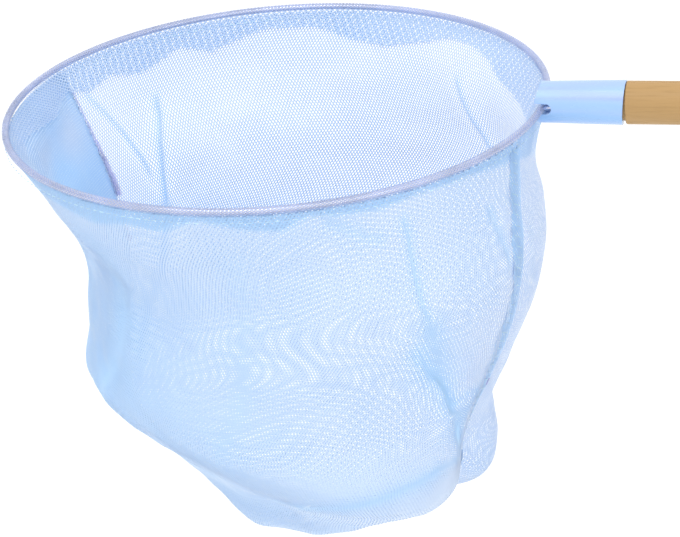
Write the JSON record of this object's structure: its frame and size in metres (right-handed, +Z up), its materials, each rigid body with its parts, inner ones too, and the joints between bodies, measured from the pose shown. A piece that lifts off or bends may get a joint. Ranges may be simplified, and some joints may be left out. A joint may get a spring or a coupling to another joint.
{
  "type": "aquarium fish net",
  "caption": "Round aquarium dip net: a wire hoop in a sewn hem carries a deep seamed mesh bag, and a plastic sleeve sockets it on a wooden pole.",
  "frame": {"origin": "on the pole's axis, at the middle of its bare length, where the net is held", "axes": "+X along the pole, away from the hoop; +Z up, square to the hoop, out of the bag's mouth"},
  "size_m": [0.6661, 0.2334, 0.2081],
  "materials": {
    "pole_wood": "turned and lightly oiled",
    "sleeve_plastic": "soft gloss hose",
    "wire_steel": "drawn spring wire",
    "hem_net": "layers of knitted net",
    "sewing_thread": "twisted thread",
    "bag_net": "open knitted net",
    "seam_net": "doubled net with stitches"
  },
  "bodies": {
    "hoop_and_pole": {"pole": "pole_wood", "socket_sleeve": "sleeve_plastic", "hoop_wire": "wire_steel", "rim_casing": "hem_net", "hem_flap": "hem_net", "hem_thread": "sewing_thread"},
    "bag": {"front_panel": "bag_net", "back_panel": "bag_net", "bag_seam": "seam_net"}
  },
  "joints": [
    {"name": "bag_swing", "type": "hinge", "parent": "hoop_and_pole", "child": "bag", "pos_m": [-0.3494, 0, 0], "axis": [1, 0, 0], "range_deg": [-20, 20], "deforming": ["front_panel", "back_panel", "bag_seam"]}
  ]
}
